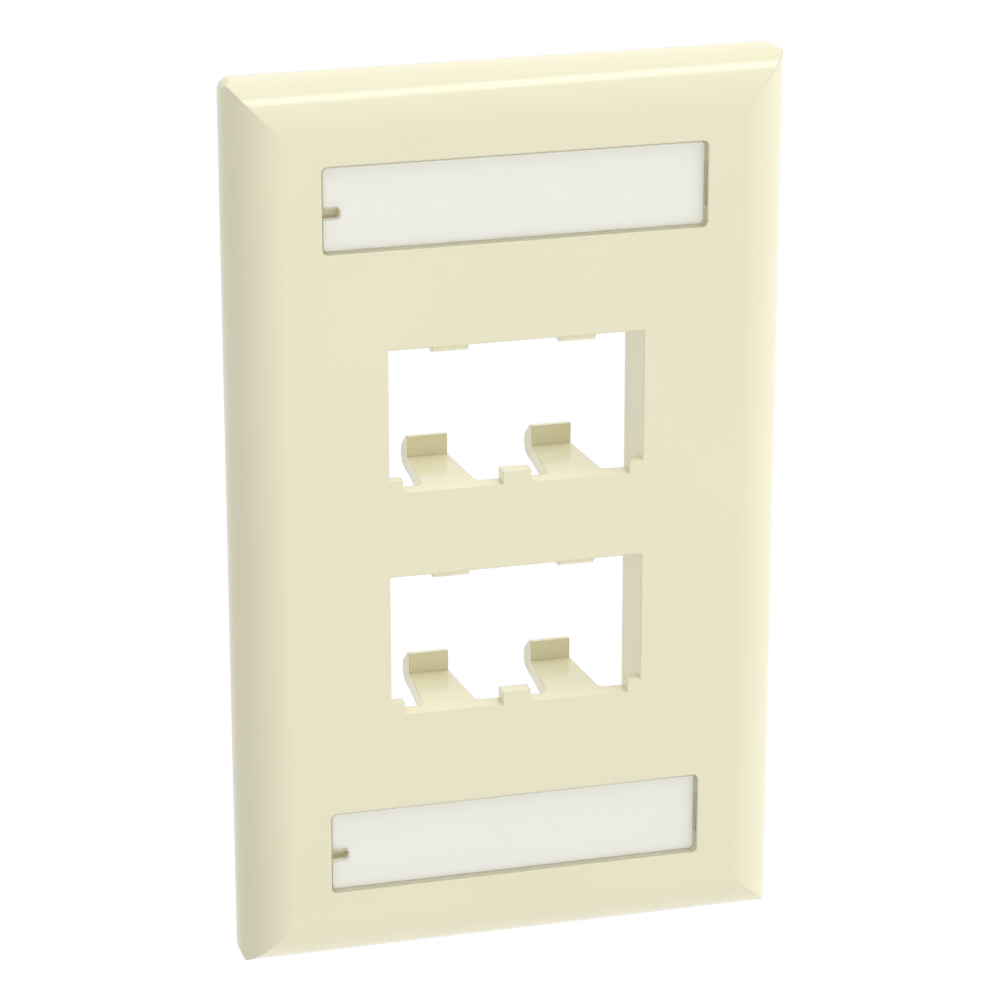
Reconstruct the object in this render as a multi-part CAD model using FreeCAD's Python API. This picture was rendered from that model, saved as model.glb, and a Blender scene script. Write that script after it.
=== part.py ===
import FreeCAD, Part
import math
import os

# Single-gang faceplate whose two double openings take snap-in modules.
# X runs across the plate, Y into the wall and Z up, all in millimetres.
# The origin is the centre of the plane where the plate's rim meets the wall.

Vector = FreeCAD.Vector

# Shell
plate_width = 69.85
plate_height = 114.3
plate_depth = 7.1          # from the wall to the flat front
side_height = 1.0          # straight part of each side, next to the wall
corner_radius = 1.6        # corners as seen from the front
skin = 2.4                 # thickness of the flat front
rim_wall = 2.0             # thickness of the rim at the wall
edge_break = 0.1           # rounding of the front's inner edges

# Openings, each as wide as two modules
opening_width = 32.2
opening_height = 18.35
opening_pitch = 29.18      # from one opening's centre to the other's

# Ledges in the lower corners and the nub between two modules
ledge_width = 1.7
ledge_height = 1.6
ledge_depth = 1.6
nub_width = 3.6
nub_depth = 2.0

# Tabs that hold each module's top edge
tab_width = 4.5
tab_drop = 1.12
tab_setback = 1.3          # from the front face
tab_depth = 1.7
tab_lead = 0.45            # slope on the tab's front corner

# Latch arms, one below each module
arm_root_width = 6.6
arm_tip_width = 5.1
arm_thickness = 2.05
arm_root_fillet = 1.0
module_seat = 13.05        # from the front face to the hooks
hook_rise = 2.6
hook_crest = 0.75
hook_length = 3.4
hook_nose_top = 1.0        # where the hook's back slope meets its round nose
hook_nose_low = 0.4        # where that nose ends, above the arm's underside
hook_nose_side = 2.8
hook_heel = 1.0            # where the hook comes back to the arm's underside

# Frame behind the openings
frame_wall = 1.6
frame_step = 0.12          # how far it stands back from the openings' sides
frame_reach = 1.15         # behind the wall plane
frame_drop = 3.2           # how far its sides run on below the lower opening
rib_thickness = 1.2
rib_setback = 2.0          # from the wall plane

# Label recesses, centred on the mounting screws
screw_spacing = 83.34
recess_width = 48.0
recess_height = 10.85
recess_depth = 1.15
recess_radius = 0.7
recess_floor = 1.65        # thickness left behind the recess
recess_wall = 1.2          # thickened skin round each recess

# Label covers
cover_gap = 0.2            # all round, in the recess
cover_inset = 0.1          # behind the front face
cover_thickness = 0.8
cover_edge = 0.15          # chamfer on the cover's front edges
cover_radius = 0.6
notch_length = 2.1         # prying notch at the left end
notch_height = 1.5
notch_radius = 0.5
notch_drop = 0.4           # below the cover's middle
pry_depth = 0.8            # pocket in the recess floor behind the notch
tongue_length = 0.8        # tongue at the right end, held under a lip
tongue_width = 5.0
tongue_thickness = 0.4
lip_thickness = 0.45
tongue_clearance = 0.05    # between the tongue and the lip
pocket_clearance = 0.3     # above and below the tongue in its pocket

# Paper labels
label_thickness = 0.2
label_margin = 0.1         # inside the cover's outline

# Mounting screws
screw_diameter = 3.5
screw_length = 22.2
screw_point = 0.6
neck_diameter = 3.0        # plain shank between the head and the thread
neck_length = 3.0
head_diameter = 7.0
head_angle = 82.0
head_sink = 0.05           # below the recess floor
head_clearance = 0.1       # added to the countersink's radius
hole_clearance = 0.3       # added to the hole's radius
slot_width = 1.1
slot_depth = 1.0
boss_diameter = 11.0
boss_setback = 0.8         # from the wall plane

# Places that several pieces share
front = -plate_depth
skin_rear = front + skin
opening_centres = (opening_pitch / 2, -opening_pitch / 2)
module_centres = (-opening_width / 4, opening_width / 4)
frame_half = opening_width / 2 + frame_step
recess_rear = front + recess_depth + recess_floor
cover_front = front + cover_inset
cover_width = recess_width - 2 * cover_gap
cover_height = recess_height - 2 * cover_gap
tongue_front = front + lip_thickness + tongue_clearance
hole_radius = screw_diameter / 2 + hole_clearance
head_slope = math.tan(math.radians(head_angle / 2))
overlap = 0.5              # how far fused features reach into each other


def block(x, y, z):
    """Box between the low and high value of each axis."""
    corner = Vector(x[0], y[0], z[0])
    return Part.makeBox(x[1] - x[0], y[1] - y[0], z[1] - z[0], corner)


def cylinder(radius, y, z):
    """Cylinder along Y, centred on x = 0."""
    return Part.makeCylinder(radius, y[1] - y[0], Vector(0, y[0], z), Vector(0, 1, 0))


def fused(shapes):
    """One clean solid from solids that overlap."""
    return shapes[0].multiFuse(shapes[1:]).removeSplitter()


def slab(width, height, y, z, radius):
    """Rectangle with rounded corners, as thick as y says, centred on z."""
    box = block((-width / 2, width / 2), y, (z - height / 2, z + height / 2))
    corners = [edge for edge in box.Edges if abs(edge.tangentAt(edge.FirstParameter).y) > 0.9]
    return box.makeFillet(radius, corners)


def rolled_bar(half_width, half_length, y, radius):
    """Bar along Z whose two front edges are quarter-rounds."""
    face, back = y
    roll = radius * (1 - math.sqrt(0.5))
    corners = []
    for side in (-1, 1):
        edge = side * half_width
        corners.append({
            "back": Vector(edge, back, 0),
            "low": Vector(edge, face + radius, 0),
            "middle": Vector(edge - side * roll, face + roll, 0),
            "high": Vector(edge - side * radius, face, 0),
        })
    left, right = corners
    outline = Part.Wire([
        Part.LineSegment(left["back"], left["low"]).toShape(),
        Part.Arc(left["low"], left["middle"], left["high"]).toShape(),
        Part.LineSegment(left["high"], right["high"]).toShape(),
        Part.Arc(right["high"], right["middle"], right["low"]).toShape(),
        Part.LineSegment(right["low"], right["back"]).toShape(),
        Part.LineSegment(right["back"], left["back"]).toShape(),
    ])
    bar = Part.Face(outline).extrude(Vector(0, 0, 2 * half_length))
    bar.translate(Vector(0, 0, -half_length))
    return bar


def rolled_plate(half_width, half_height, y, radius):
    """Plate whose four rolled edges meet in mitres."""
    upright = rolled_bar(half_width, half_height, y, radius)
    level = rolled_bar(half_height, half_width, y, radius)
    level.rotate(Vector(0, 0, 0), Vector(0, 1, 0), 90)
    return upright.common(level)


def shell():
    """Hollow plate with a rolled border and slightly rounded corners."""
    half_width = plate_width / 2
    half_height = plate_height / 2
    edge_round = plate_depth - side_height
    outside = rolled_plate(half_width, half_height, (front, 0), edge_round)
    outside = outside.common(slab(plate_width, plate_height, (front, 0), 0, corner_radius))
    hollow_round = min(edge_round - rim_wall, plate_depth - skin)
    hollow = rolled_plate(half_width - rim_wall, half_height - rim_wall, (skin_rear, overlap), hollow_round)
    return outside.cut(hollow)


def rear_frame():
    """Side walls along both openings and a wall above each of them."""
    y = (skin_rear - overlap, frame_reach)
    top = opening_centres[0] + opening_height / 2 + frame_step + frame_wall
    bottom = opening_centres[1] - opening_height / 2 - frame_drop
    outer = frame_half + frame_wall
    walls = [
        block((-outer, -frame_half), y, (bottom, top)),
        block((frame_half, outer), y, (bottom, top)),
    ]
    for centre in opening_centres:
        inner_top = centre + opening_height / 2 + frame_step
        walls.append(block((-outer, outer), y, (inner_top, inner_top + frame_wall)))
    return walls


def screw_supports(side):
    """Thick recess floor, screw boss and ribs at one end of the plate; side is 1 above, -1 below."""
    z = side * screw_spacing / 2
    pad_width = recess_width + 2 * recess_wall
    pad = slab(pad_width, recess_height + 2 * recess_wall, (skin_rear - overlap, recess_rear), z, recess_radius)
    boss = cylinder(boss_diameter / 2, (skin_rear - overlap, -boss_setback), z)
    rib_y = (skin_rear - overlap, -rib_setback)
    half_rib = rib_thickness / 2
    level_rib = block((-recess_width / 2, recess_width / 2), rib_y, (z - half_rib, z + half_rib))
    frame_end = side * (opening_centres[0] + opening_height / 2 + frame_step)
    spine = block((-half_rib, half_rib), rib_y, (min(frame_end, z), max(frame_end, z)))
    return [pad, boss, level_rib, spine]


def notch(x, y, z):
    """Prying notch of a label window centred on z, with two rounded corners at its right end."""
    middle = z - notch_drop
    slot = block(x, y, (middle - notch_height / 2, middle + notch_height / 2))
    inner = [edge for edge in slot.Edges if abs(edge.CenterOfMass.x - x[1]) < 1e-6]
    corners = [edge for edge in inner if abs(edge.tangentAt(edge.FirstParameter).y) > 0.9]
    return slot.makeFillet(notch_radius, corners)


def recess_cuts(side):
    """Label recess, its tongue and prying pockets, and the countersunk screw hole."""
    z = side * screw_spacing / 2
    floor = front + recess_depth
    recess = slab(recess_width, recess_height, (front - overlap, floor), z, recess_radius)
    edge = recess_width / 2
    half_pocket = tongue_width / 2 + pocket_clearance
    tongue_pocket = block(
        (edge - overlap, edge + recess_wall),
        (front + lip_thickness, floor),
        (z - half_pocket, z + half_pocket),
    )
    pry_end = -cover_width / 2 + notch_length
    pry_pocket = notch((-edge, pry_end), (floor - overlap, floor + pry_depth), z)
    hole = cylinder(hole_radius, (front, overlap), z)
    sink_radius = head_diameter / 2 + head_clearance
    sink_depth = (sink_radius - hole_radius) / head_slope
    sink = Part.makeCone(sink_radius, hole_radius, sink_depth, Vector(0, floor, z), Vector(0, 1, 0))
    return [recess, tongue_pocket, pry_pocket, hole, sink]


def ledges_and_nub(centre):
    """Flush ledges in an opening's lower corners and the nub between its modules."""
    low = centre - opening_height / 2
    z = (low - overlap, low + ledge_height)
    edge = opening_width / 2
    return [
        block((-edge - overlap, -edge + ledge_width), (front, front + ledge_depth), z),
        block((edge - ledge_width, edge + overlap), (front, front + ledge_depth), z),
        block((-nub_width / 2, nub_width / 2), (front, front + nub_depth), z),
    ]


def top_tab(x, centre):
    """Tab that hangs from an opening's top edge over one module."""
    top = centre + opening_height / 2
    near = front + tab_setback
    far = near + tab_depth
    outline = Part.makePolygon([
        Vector(x - tab_width / 2, near, top + overlap),
        Vector(x - tab_width / 2, near, top - tab_drop + tab_lead),
        Vector(x - tab_width / 2, near + tab_lead, top - tab_drop),
        Vector(x - tab_width / 2, far, top - tab_drop),
        Vector(x - tab_width / 2, far, top + overlap),
        Vector(x - tab_width / 2, near, top + overlap),
    ])
    return Part.Face(outline).extrude(Vector(tab_width, 0, 0))


def arm_side(x):
    """Side outline of a latch arm in the plane at x, around the arm's top at z = 0."""
    hook = front + module_seat
    root = skin_rear - overlap
    under = -arm_thickness
    fillet_reach = skin_rear + arm_root_fillet
    roll = arm_root_fillet * (1 - math.sqrt(0.5))
    nose_low = under + hook_nose_low
    points = {
        "root top": Vector(x, root, 0),
        "hook foot": Vector(x, hook, 0),
        "hook top": Vector(x, hook, hook_rise),
        "crest": Vector(x, hook + hook_crest, hook_rise),
        "nose top": Vector(x, hook + hook_nose_side, hook_nose_top),
        "nose": Vector(x, hook + hook_length, (hook_nose_top + nose_low) / 2),
        "nose low": Vector(x, hook + hook_nose_side, nose_low),
        "heel": Vector(x, hook + hook_heel, under),
        "fillet end": Vector(x, fillet_reach, under),
        "fillet middle": Vector(x, skin_rear + roll, under - roll),
        "fillet start": Vector(x, skin_rear, under - arm_root_fillet),
        "root low": Vector(x, root, under - arm_root_fillet),
    }
    straight = [
        ("root top", "hook foot"),
        ("hook foot", "hook top"),
        ("hook top", "crest"),
        ("crest", "nose top"),
        ("nose low", "heel"),
        ("heel", "fillet end"),
        ("fillet start", "root low"),
        ("root low", "root top"),
    ]
    edges = [Part.LineSegment(points[a], points[b]).toShape() for a, b in straight]
    edges.insert(4, Part.Arc(points["nose top"], points["nose"], points["nose low"]).toShape())
    edges.insert(7, Part.Arc(points["fillet end"], points["fillet middle"], points["fillet start"]).toShape())
    return Part.Face(Part.Wire(edges))


def arm_plan():
    """Plan outline of a latch arm: fillets at its root, then a taper to the hook."""
    root = skin_rear - overlap
    wide = arm_root_width / 2
    narrow = arm_tip_width / 2
    hook = front + module_seat
    end = hook + hook_length + overlap
    start = skin_rear + arm_root_fillet
    roll = arm_root_fillet * (1 - math.sqrt(0.5))
    edges = []
    for side in (-1, 1):
        spread = side * (wide + arm_root_fillet)
        foot = Vector(spread, skin_rear, 0)
        bend = Vector(side * (wide + roll), skin_rear + roll, 0)
        shoulder = Vector(side * wide, start, 0)
        tip = Vector(side * narrow, hook, 0)
        edges.append(Part.LineSegment(Vector(spread, root, 0), foot).toShape())
        edges.append(Part.Arc(foot, bend, shoulder).toShape())
        edges.append(Part.LineSegment(shoulder, tip).toShape())
        edges.append(Part.LineSegment(tip, Vector(side * narrow, end, 0)).toShape())
    spread = wide + arm_root_fillet
    edges.append(Part.LineSegment(Vector(-narrow, end, 0), Vector(narrow, end, 0)).toShape())
    edges.append(Part.LineSegment(Vector(-spread, root, 0), Vector(spread, root, 0)).toShape())
    return Part.Face(Part.Wire(Part.__sortEdges__(edges)))


def latch_arm(x, centre):
    """Arm that runs back from an opening's lower edge and hooks up behind one module."""
    half_span = arm_root_width / 2 + arm_root_fillet + overlap
    side = arm_side(-half_span).extrude(Vector(2 * half_span, 0, 0))
    below = arm_thickness + arm_root_fillet + overlap
    plan = arm_plan().extrude(Vector(0, 0, below + hook_rise + overlap))
    plan.translate(Vector(0, 0, -below))
    arm = side.common(plan)
    arm.translate(Vector(x, 0, centre - opening_height / 2))
    return arm


def inner_front_edges(body):
    """Edges where the flat front drops into its openings and recesses."""
    flat = [
        face for face in body.Faces
        if abs(face.CenterOfMass.y - front) < 1e-6 and abs(face.normalAt(0, 0).y) > 0.999
    ]
    face = max(flat, key=lambda candidate: candidate.Area)
    return [edge for wire in face.Wires if not wire.isSame(face.OuterWire) for edge in wire.Edges]


def faceplate():
    """The one-piece moulding."""
    solids = [shell()] + rear_frame() + screw_supports(1) + screw_supports(-1)
    body = fused(solids)
    cuts = recess_cuts(1) + recess_cuts(-1)
    edge = opening_width / 2
    for centre in opening_centres:
        z = (centre - opening_height / 2, centre + opening_height / 2)
        cuts.append(block((-edge, edge), (front - overlap, skin_rear + overlap), z))
    for cut in cuts:
        body = body.cut(cut)
    features = [body]
    for centre in opening_centres:
        features += ledges_and_nub(centre)
        for x in module_centres:
            features.append(top_tab(x, centre))
            features.append(latch_arm(x, centre))
    body = fused(features)
    return body.makeFillet(edge_break, inner_front_edges(body))


def label_cover(side):
    """Clear cover with a prying notch on the left and a tongue on the right."""
    z = side * screw_spacing / 2
    y = (cover_front, cover_front + cover_thickness)
    plate = slab(cover_width, cover_height, y, z, cover_radius)
    rim = [edge for edge in plate.Edges if abs(edge.CenterOfMass.y - cover_front) < 1e-6]
    plate = plate.makeChamfer(cover_edge, rim)
    edge = cover_width / 2
    half_tongue = tongue_width / 2
    tongue = block(
        (edge - overlap, edge + tongue_length),
        (tongue_front, tongue_front + tongue_thickness),
        (z - half_tongue, z + half_tongue),
    )
    notch_x = (-edge - overlap, -edge + notch_length)
    plate = plate.cut(notch(notch_x, (y[0] - overlap, y[1] + overlap), z))
    return fused([plate, tongue])


def label(side):
    """Card that lies on the recess floor over the screw."""
    z = side * screw_spacing / 2
    floor = front + recess_depth
    y = (floor - label_thickness, floor)
    width = cover_width - 2 * label_margin
    height = cover_height - 2 * label_margin
    card = slab(width, height, y, z, cover_radius - label_margin)
    notch_x = (-width / 2 - overlap, -width / 2 + notch_length)
    return card.cut(notch(notch_x, (y[0] - overlap, y[1] + overlap), z))


def mounting_screw(side):
    """Slotted flat-head screw, its head just below the recess floor."""
    z = side * screw_spacing / 2
    top = front + recess_depth + head_sink
    head_radius = head_diameter / 2
    neck_radius = neck_diameter / 2
    radius = screw_diameter / 2
    neck = top + (head_radius - neck_radius) / head_slope
    thread = neck + neck_length
    tip = top + screw_length
    outline = Part.makePolygon([
        Vector(0, top, z),
        Vector(head_radius, top, z),
        Vector(neck_radius, neck, z),
        Vector(neck_radius, thread, z),
        Vector(radius, thread + radius - neck_radius, z),
        Vector(radius, tip - screw_point, z),
        Vector(radius - screw_point, tip, z),
        Vector(0, tip, z),
        Vector(0, top, z),
    ])
    screw = Part.Face(outline).revolve(Vector(0, 0, z), Vector(0, 1, 0), 360)
    slot = block(
        (-head_radius - overlap, head_radius + overlap),
        (top - overlap, top + slot_depth),
        (z - slot_width / 2, z + slot_width / 2),
    )
    return screw.cut(slot)


pieces = {"faceplate": faceplate()}
for place, side in (("top", 1), ("bottom", -1)):
    pieces["label_cover_" + place] = label_cover(side)
    pieces["label_" + place] = label(side)
    pieces["mounting_screw_" + place] = mounting_screw(side)

os.makedirs("parts", exist_ok=True)
for name, solid in pieces.items():
    solid.exportStep("parts/" + name + ".step")
    box = solid.BoundBox
    print(name, len(solid.Solids), solid.isValid(), round(solid.Volume, 1), box)
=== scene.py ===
import math

import bmesh
import bpy
from mathutils import Euler, Matrix, Vector


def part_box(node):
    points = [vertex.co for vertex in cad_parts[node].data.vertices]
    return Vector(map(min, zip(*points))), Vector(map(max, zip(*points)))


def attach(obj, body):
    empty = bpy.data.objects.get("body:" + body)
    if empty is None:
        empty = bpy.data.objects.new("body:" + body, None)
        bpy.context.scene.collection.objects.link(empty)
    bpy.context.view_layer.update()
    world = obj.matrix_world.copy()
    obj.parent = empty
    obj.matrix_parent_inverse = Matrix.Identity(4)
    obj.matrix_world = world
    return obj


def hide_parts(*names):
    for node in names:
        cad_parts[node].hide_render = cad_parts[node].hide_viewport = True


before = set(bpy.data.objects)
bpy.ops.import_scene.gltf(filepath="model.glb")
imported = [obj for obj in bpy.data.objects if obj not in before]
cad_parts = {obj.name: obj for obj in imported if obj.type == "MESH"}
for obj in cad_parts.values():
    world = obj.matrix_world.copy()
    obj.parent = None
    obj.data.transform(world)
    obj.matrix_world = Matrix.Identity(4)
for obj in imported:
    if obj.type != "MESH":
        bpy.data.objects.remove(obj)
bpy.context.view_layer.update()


# Faceplate: one injection moulding in ivory plastic, polished on the outside
# and a little duller where the mould's core shaped its hollow back. The melt
# leaves long flow marks, and the mould's steel leaves a very fine grain.
class Wire:
    """A socket that takes part in Python arithmetic."""

    def __init__(self, tree, socket):
        self.tree = tree
        self.socket = socket

    def maths(self, operation, first, second):
        sockets = {"Value": first, "Value_001": second}
        return self.tree.node("ShaderNodeMath", {"operation": operation}, sockets)

    def __add__(self, other):
        return self.maths("ADD", self, other)

    def __sub__(self, other):
        return self.maths("SUBTRACT", self, other)

    def __rsub__(self, other):
        return self.maths("SUBTRACT", other, self)

    def __mul__(self, other):
        return self.maths("MULTIPLY", self, other)

    def __truediv__(self, other):
        return self.maths("DIVIDE", self, other)

    def __rtruediv__(self, other):
        return self.maths("DIVIDE", other, self)

    def __gt__(self, other):
        return self.maths("GREATER_THAN", self, other)

    def __lt__(self, other):
        return self.maths("LESS_THAN", self, other)

    __radd__ = __add__
    __rmul__ = __mul__


class Tree:
    """A node tree that is filled through one method."""

    def __init__(self, tree):
        self.tree = tree
        tree.nodes.clear()

    def node(self, kind, settings, sockets, out=0):
        """Add a node; sockets, by identifier or name, take values, wires or lists of wires."""
        node = self.tree.nodes.new(kind)
        for name, value in settings.items():
            setattr(node, name, value)
        for name, value in sockets.items():
            place = next(one for one in node.inputs if name in (one.identifier, one.name))
            for item in value if isinstance(value, list) else [value]:
                if isinstance(item, Wire):
                    self.tree.links.new(item.socket, place)
                else:
                    place.default_value = item
        if not node.outputs:
            return None
        if isinstance(out, str):
            return Wire(self, next(one for one in node.outputs if out in (one.identifier, one.name)))
        return Wire(self, node.outputs[out])


class Finish(Tree):
    """A material in the piece's own coordinates."""

    def __init__(self, name):
        self.material = bpy.data.materials.new(name)
        self.material.use_nodes = True
        super().__init__(self.material.node_tree)

    def place(self):
        return self.node("ShaderNodeTexCoord", {}, {}, "Object")

    def noise(self, size, detail=2.0):
        """Even noise whose grains are about size metres across."""
        sockets = {"Vector": self.place(), "Scale": 1 / size, "Detail": detail}
        return self.node("ShaderNodeTexNoise", {}, sockets)

    def mix(self, factor, first, second):
        sockets = {"Factor_Float": factor, "A_Color": first, "B_Color": second}
        return self.node("ShaderNodeMix", {"data_type": "RGBA"}, sockets, "Result_Color")

    def bump(self, height, depth, strength, normal):
        sockets = {"Strength": strength, "Distance": depth, "Height": height, "Normal": normal}
        return self.node("ShaderNodeBump", {}, sockets)

    def surface(self, shader):
        self.node("ShaderNodeOutputMaterial", {}, {"Surface": shader})
        return self.material


def paint(red, green, blue):
    """Linear colour from the values of a screen colour."""
    def linear(value):
        value /= 255
        return value / 12.92 if value <= 0.04045 else ((value + 0.055) / 1.055) ** 2.4
    return (linear(red), linear(green), linear(blue), 1.0)


def dress(node, material):
    """Give a piece of the part its only material."""
    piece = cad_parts[node]
    piece.data.materials.clear()
    piece.data.materials.append(material)


moulded_edge = 0.0003
ivory_deep = paint(232, 227, 196)
ivory_pale = paint(236, 231, 201)
mottle_size = 0.02
polish_size = 0.004
polished = 0.11
polish_spread = 0.05
core_dullness = 0.2
core_facing = 0.3
fine_grain = 0.0003
coarse_grain = 0.0009
fine_share = 0.6
coarse_share = 0.4
grain_depth = 0.00002
flow_size = 0.012
flow_depth = 0.00003

ivory = Finish("ivory_plastic")
tone = ivory.mix(ivory.noise(mottle_size), ivory_deep, ivory_pale)
outward = ivory.node("ShaderNodeTexCoord", {}, {}, "Normal")
core_side = ivory.node("ShaderNodeSeparateXYZ", {}, {"Vector": outward}, "Y") > core_facing
gloss_spread = polished + ivory.noise(polish_size) * polish_spread + core_side * core_dullness
soft_edge = ivory.node("ShaderNodeBevel", {"samples": 4}, {"Radius": moulded_edge})
grain = ivory.noise(fine_grain) * fine_share + ivory.noise(coarse_grain) * coarse_share
flow = ivory.noise(flow_size, detail=0.0)
grain_bump = ivory.bump(grain, grain_depth, strength=0.12, normal=soft_edge)
flow_bump = ivory.bump(flow, flow_depth, strength=0.3, normal=grain_bump)
moulded = ivory.node("ShaderNodeBsdfPrincipled", {}, {
    "Base Color": tone,
    "Roughness": gloss_spread,
    "IOR": 1.5,
    "Normal": flow_bump,
})
dress("faceplate", ivory.surface(moulded))


# Mounting screws: zinc-plated steel with slotted flat heads on plain necks.
# The blank is turned, and its thread is rolled, so it stands proud of the neck.
screw_low, screw_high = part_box("mounting_screw_top")
head_radius = (screw_high[2] - screw_low[2]) / 2
head_top = screw_low[1]
screw_tip = screw_high[1]
screw_spacing = screw_low[2] + screw_high[2]
head_angle = math.radians(82)
head_land = 0.0001
neck_radius = 0.0015
neck_length = 0.003
core_radius = 0.00132
crest_radius = 0.00175
tip_chamfer = 0.0006
thread_pitch = 0.000794
thread_root = 0.0006
thread_crest = 0.00012
thread_bite = 0.00008
slot_width = 0.0011
slot_depth = 0.001
slot_length = 2.2 * head_radius
lathe_steps = 64
steps_per_turn = 32
weld_distance = 0.000001
quarter_turn = math.radians(90)
sharp_from = math.radians(35)


def turned(name, outline):
    """Mesh of a radius-and-depth outline turned about the Y axis."""
    form = bmesh.new()
    points = [form.verts.new((radius, depth, 0)) for radius, depth in outline]
    edges = [form.edges.new(pair) for pair in zip(points, points[1:])]
    bmesh.ops.spin(
        form, geom=points + edges, axis=(0, 1, 0), cent=(0, 0, 0),
        angle=4 * quarter_turn, steps=lathe_steps,
    )
    bmesh.ops.remove_doubles(form, verts=form.verts, dist=weld_distance)
    bmesh.ops.recalc_face_normals(form, faces=form.faces)
    mesh = bpy.data.meshes.new(name)
    form.to_mesh(mesh)
    form.free()
    return mesh


head_slope = math.tan(head_angle / 2)
neck_start = head_top + head_land + (head_radius - neck_radius) / head_slope
neck_end = neck_start + neck_length
blank = [
    (0, head_top),
    (head_radius, head_top),
    (head_radius, head_top + head_land),
    (neck_radius, neck_start),
    (neck_radius, neck_end),
    (core_radius, neck_end + neck_radius - core_radius),
    (core_radius, screw_tip - tip_chamfer),
    (core_radius - tip_chamfer, screw_tip),
    (0, screw_tip),
]

rolled = Tree(bpy.data.node_groups.new("rolled_thread", "GeometryNodeTree"))
rolled.tree.interface.new_socket("Geometry", in_out="OUTPUT", socket_type="NodeSocketGeometry")
rolled.tree.interface.new_socket("Geometry", in_out="INPUT", socket_type="NodeSocketGeometry")
screw_inputs = {
    "Pitch": thread_pitch,
    "Core radius": core_radius,
    "Crest radius": crest_radius,
    "Root width": thread_root,
    "Crest width": thread_crest,
    "Bite": thread_bite,
    "Thread start": neck_end,
    "Thread end": screw_tip - tip_chamfer,
    "Head top": head_top,
    "Slot length": slot_length,
    "Slot width": slot_width,
    "Slot depth": slot_depth,
    "Spacing": screw_spacing,
}
for name in screw_inputs:
    rolled.tree.interface.new_socket(name, in_out="INPUT", socket_type="NodeSocketFloat")
rolled.tree.interface.new_socket("Finish", in_out="INPUT", socket_type="NodeSocketMaterial")


def asked(name):
    """One of the tree's named inputs."""
    return rolled.node("NodeGroupInput", {}, {}, name)


def along(x, y, z):
    """A place or a size from its three parts."""
    return rolled.node("ShaderNodeCombineXYZ", {}, {"X": x, "Y": y, "Z": z})


thread_length = asked("Thread end") - asked("Thread start")
helix = rolled.node("GeometryNodeCurveSpiral", {}, {
    "Resolution": steps_per_turn,
    "Rotations": thread_length / asked("Pitch"),
    "Start Radius": asked("Core radius"),
    "End Radius": asked("Core radius"),
    "Height": thread_length,
    "Reverse": True,
})
helix = rolled.node("GeometryNodeSetCurveNormal", {"mode": "Z_UP"}, {"Curve": helix})
ridge_height = asked("Crest radius") - asked("Core radius") + asked("Bite")
ridge = rolled.node("GeometryNodeCurvePrimitiveQuadrilateral", {"mode": "TRAPEZOID"}, {
    "Height": ridge_height,
    "Bottom Width": asked("Root width"),
    "Top Width": asked("Crest width"),
    "Offset": 0.0,
})
ridge = rolled.node("GeometryNodeTransform", {}, {
    "Geometry": ridge,
    "Translation": along(ridge_height / 2 - asked("Bite"), 0.0, 0.0),
    "Rotation": Euler((0, 0, -quarter_turn)),
})
thread = rolled.node("GeometryNodeCurveToMesh", {}, {
    "Curve": helix,
    "Profile Curve": ridge,
    "Fill Caps": True,
})
thread = rolled.node("GeometryNodeTransform", {}, {
    "Geometry": thread,
    "Translation": along(0.0, asked("Thread start"), 0.0),
    "Rotation": Euler((-quarter_turn, 0, 0)),
})
cutter = rolled.node("GeometryNodeMeshCube", {}, {
    "Size": along(asked("Slot length"), asked("Slot depth") * 2, asked("Slot width")),
})
cutter = rolled.node("GeometryNodeTransform", {}, {
    "Geometry": cutter,
    "Translation": along(0.0, asked("Head top"), 0.0),
})
slotted = rolled.node("GeometryNodeMeshBoolean", {"operation": "DIFFERENCE"}, {
    "Mesh 1": asked("Geometry"),
    "Mesh 2": cutter,
})
screw = rolled.node("GeometryNodeJoinGeometry", {}, {"Geometry": [slotted, thread]})
pair = rolled.node("GeometryNodeMeshLine", {}, {
    "Count": 2,
    "Start Location": along(0.0, 0.0, asked("Spacing") * -0.5),
    "Offset": along(0.0, 0.0, asked("Spacing")),
})
screws = rolled.node("GeometryNodeInstanceOnPoints", {}, {"Points": pair, "Instance": screw})
screws = rolled.node("GeometryNodeRealizeInstances", {}, {"Geometry": screws})
screws = rolled.node("GeometryNodeSetMaterial", {}, {"Geometry": screws, "Material": asked("Finish")})
rolled.node("NodeGroupOutput", {}, {"Geometry": screws})

plating_edge = 0.00004
plating_grain = 0.0002
plating_depth = 0.000004
plating_patch = 0.001
plating_dark = (0.56, 0.57, 0.58, 1)
plating_light = (0.68, 0.68, 0.66, 1)
plating_sheen = 0.0005
plating_polish = 0.24
plating_spread = 0.16

zinc = Finish("zinc_plate")
rounded = zinc.node("ShaderNodeBevel", {"samples": 4}, {"Radius": plating_edge})
pitted = zinc.bump(zinc.noise(plating_grain), plating_depth, strength=0.3, normal=rounded)
plating = zinc.node("ShaderNodeBsdfPrincipled", {}, {
    "Base Color": zinc.mix(zinc.noise(plating_patch), plating_dark, plating_light),
    "Metallic": 1.0,
    "Roughness": plating_polish + zinc.noise(plating_sheen) * plating_spread,
    "Normal": pitted,
})
zinc_plate = zinc.surface(plating)

mounting_screws = bpy.data.objects.new("mounting_screws", turned("mounting_screws", blank))
bpy.context.scene.collection.objects.link(mounting_screws)
rolling = mounting_screws.modifiers.new("rolled_thread", "NODES")
rolling.node_group = rolled.tree
for item in rolled.tree.interface.items_tree:
    if item.name in screw_inputs:
        rolling[item.identifier] = screw_inputs[item.name]
    elif item.name == "Finish":
        rolling[item.identifier] = zinc_plate
finished = mounting_screws.evaluated_get(bpy.context.evaluated_depsgraph_get())
made = bpy.data.meshes.new_from_object(finished)
mounting_screws.modifiers.clear()
mounting_screws.data = made
made.shade_smooth()
made.set_sharp_from_angle(angle=sharp_from)
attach(mounting_screws, "plate")
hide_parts("mounting_screw_top", "mounting_screw_bottom")


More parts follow.
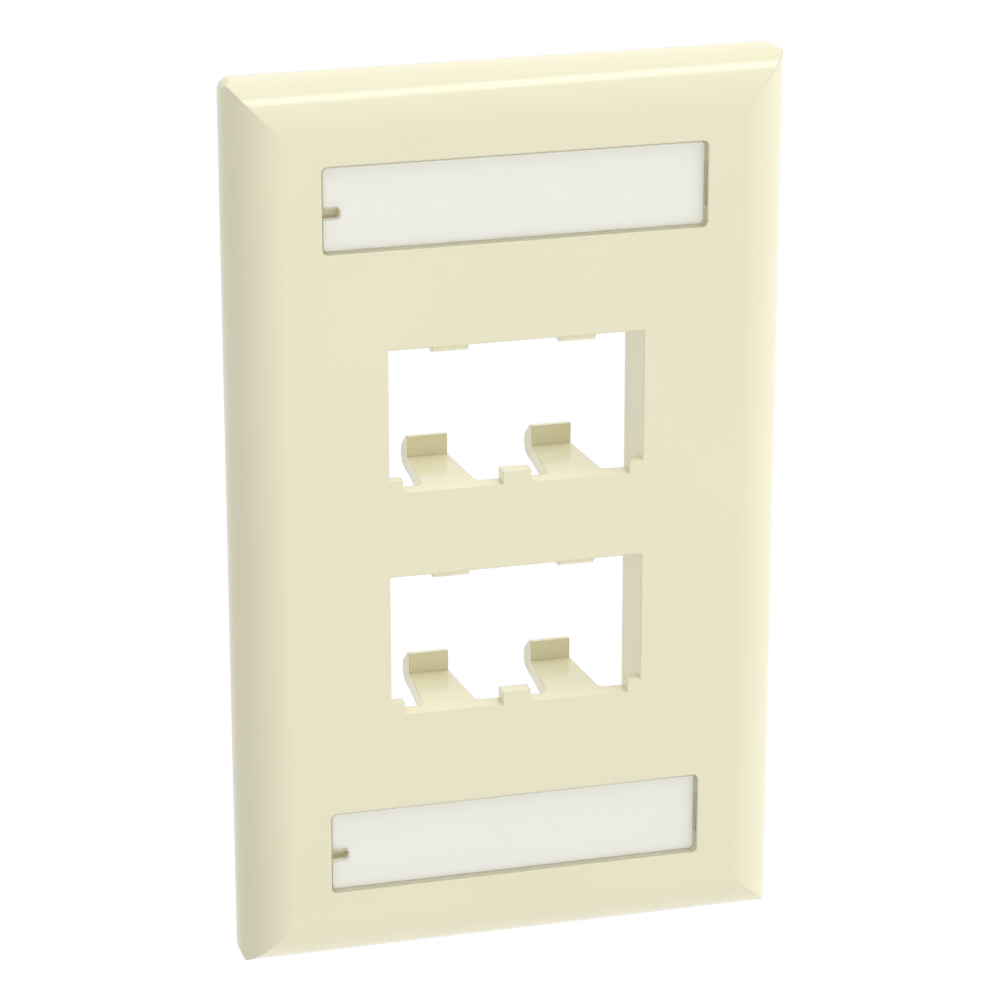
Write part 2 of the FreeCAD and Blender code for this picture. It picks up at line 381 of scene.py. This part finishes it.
# Labels: blank white card, cut to the cover's outline with its own prying
# notch. Each lies on the recess floor over its screw's head.
card_shade = paint(245, 244, 236)
card_white = paint(250, 249, 242)
card_dullness = 0.85
fibre_size = 0.00025
fibre_depth = 0.00001

card = Finish("white_card")
fibre = card.noise(fibre_size, detail=4.0)
flat = card.node("ShaderNodeNewGeometry", {}, {}, "Normal")
paper = card.node("ShaderNodeBsdfPrincipled", {}, {
    "Base Color": card.mix(fibre, card_shade, card_white),
    "Roughness": card_dullness,
    "Normal": card.bump(fibre, fibre_depth, strength=0.2, normal=flat),
})
white_card = card.surface(paper)
for end in ("top", "bottom"):
    dress("label_" + end, white_card)


# Label covers: clear moulded strips that snap into the recesses. Their gloss
# grows towards a glancing view, light passes straight through, and their
# narrow edges gather it and look faintly milky.
white = (1, 1, 1, 1)
cover_tint = (0.995, 0.995, 0.99, 1)
cover_polish = 0.06
head_on_gloss = 0.04
edge_tint = (0.74, 0.75, 0.73, 1)
edge_polish = 0.3
edge_milk = 0.4
face_limit = 0.25

clear = Finish("clear_cover")
facing = clear.node("ShaderNodeLayerWeight", {}, {"Blend": 0.5}, "Facing")
squared = facing * facing
glance = squared * squared * facing * (1 - head_on_gloss) + head_on_gloss
passing = clear.node("ShaderNodeBsdfTransparent", {}, {"Color": cover_tint})
gloss = clear.node("ShaderNodeBsdfPrincipled", {}, {
    "Base Color": white,
    "Metallic": 1.0,
    "Roughness": cover_polish,
})
milky = clear.node("ShaderNodeBsdfPrincipled", {}, {
    "Base Color": edge_tint,
    "Roughness": edge_polish,
})
across = clear.node("ShaderNodeTexCoord", {}, {}, "Normal")
depthwise = clear.node("ShaderNodeSeparateXYZ", {}, {"Vector": across}, "Y")
narrow_edge = edge_milk - (depthwise * depthwise > face_limit) * edge_milk


def layered(tree, factor, under, over):
    """One shader over another, the factor saying how much of the upper one shows."""
    sockets = {"Fac": factor, "Shader": under, "Shader_001": over}
    return tree.node("ShaderNodeMixShader", {}, sockets)


see_through = layered(clear, glance, passing, gloss)
clear_plastic = clear.surface(layered(clear, narrow_edge, see_through, milky))
for end in ("top", "bottom"):
    dress("label_cover_" + end, clear_plastic)


# Studio: a white light tent, open and darker at the left and round the
# camera, with a strip lamp above and a small pale floor well below.
tent_level = 1.25
gap_strength = 1.2
strip_direction = Vector((0.243, -0.212, 0.948))
strip_distance = 0.9
strip_length = 0.7
strip_width = 0.16
strip_radiance = 3.9
floor_radius = 0.35
floor_drop = 0.35
floor_colour = (0.8, 0.8, 0.8, 1)
floor_glow = 0.1

tent_world = bpy.data.worlds.new("light_tent")
tent_world.use_nodes = True
bpy.context.scene.world = tent_world
tent = Tree(tent_world.node_tree)


def aim(azimuth, elevation):
    """Direction from the object, its azimuth counted from the front towards the right."""
    turn = math.radians(azimuth)
    lift = math.radians(elevation)
    return Vector((math.cos(lift) * math.sin(turn), -math.cos(lift) * math.cos(turn), math.sin(lift)))


def gap_in_tent(azimuth, elevation, edge):
    """Grows from 0 at the gap's edge, a cosine, to 1 at its middle."""
    direction = tent.node("ShaderNodeTexCoord", {}, {}, "Generated")
    sockets = {"Vector": direction, "Vector_001": aim(azimuth, elevation)}
    cosine = tent.node("ShaderNodeVectorMath", {"operation": "DOT_PRODUCT"}, sockets, "Value")
    return tent.node("ShaderNodeMapRange", {}, {"Value": cosine, "From Min": edge, "From Max": 1.0})


def seen_ray(tree):
    """1 for rays that show the background itself, 0 for those that light the object."""
    rays = ("Is Camera Ray", "Is Glossy Ray", "Is Transmission Ray")
    camera_ray, glossy_ray, passing_ray = (tree.node("ShaderNodeLightPath", {}, {}, ray) for ray in rays)
    return camera_ray + glossy_ray + passing_ray


left_gap = gap_in_tent(azimuth=-97, elevation=6, edge=0.5)
front_gap = gap_in_tent(azimuth=-3, elevation=21.5, edge=0.8)
brightness = tent_level - gap_strength * left_gap - gap_strength * front_gap
cloth = tent.node("ShaderNodeBackground", {}, {"Color": white, "Strength": brightness})
backdrop = tent.node("ShaderNodeBackground", {}, {"Color": white, "Strength": 1.0})
around = layered(tent, seen_ray(tent), cloth, backdrop)
tent.node("ShaderNodeOutputWorld", {}, {"Surface": around})

strip = bpy.data.lights.new("strip_light", "AREA")
strip.shape = "RECTANGLE"
strip.size = strip_length
strip.size_y = strip_width
strip.energy = strip_radiance * math.pi * strip_length * strip_width
strip_light = bpy.data.objects.new("strip_light", strip)
strip_light.location = strip_direction.normalized() * strip_distance
strip_light.rotation_euler = strip_direction.to_track_quat("Z", "Y").to_euler()
bpy.context.scene.collection.objects.link(strip_light)

floor_mesh = bpy.data.meshes.new("floor")
floor_form = bmesh.new()
bmesh.ops.create_circle(
    floor_form, cap_ends=True, radius=floor_radius, segments=96,
    matrix=Matrix.Translation((0, 0, -floor_drop)),
)
floor_form.to_mesh(floor_mesh)
floor_form.free()
board = Finish("pale_board")
pale = board.node("ShaderNodeBsdfDiffuse", {}, {"Color": floor_colour})
glow = board.node("ShaderNodeEmission", {}, {"Color": white, "Strength": seen_ray(board) * floor_glow})
lit_board = board.node("ShaderNodeAddShader", {}, {"Shader": pale, "Shader_001": glow})
floor_mesh.materials.append(board.surface(lit_board))
floor = bpy.data.objects.new("floor", floor_mesh)
bpy.context.scene.collection.objects.link(floor)


# Camera: a long lens at the left and above, where the photograph was taken
# from. Its place and turn were worked out from the plate's outline.
lens = 148.37
film_width = 36
looks_down = 19.789
looks_right = 15.266
camera_place = (-0.127507, -0.466293, 0.174711)

camera_data = bpy.data.cameras.new("camera")
camera_data.sensor_width = film_width
camera_data.lens = lens
camera_data.clip_start = 0.01
camera = bpy.data.objects.new("camera", camera_data)
camera.location = camera_place
camera.rotation_euler = Euler((math.radians(90 - looks_down), 0, -math.radians(looks_right)))
bpy.context.scene.collection.objects.link(camera)
bpy.context.scene.camera = camera
bpy.context.scene.view_settings.view_transform = "Standard"
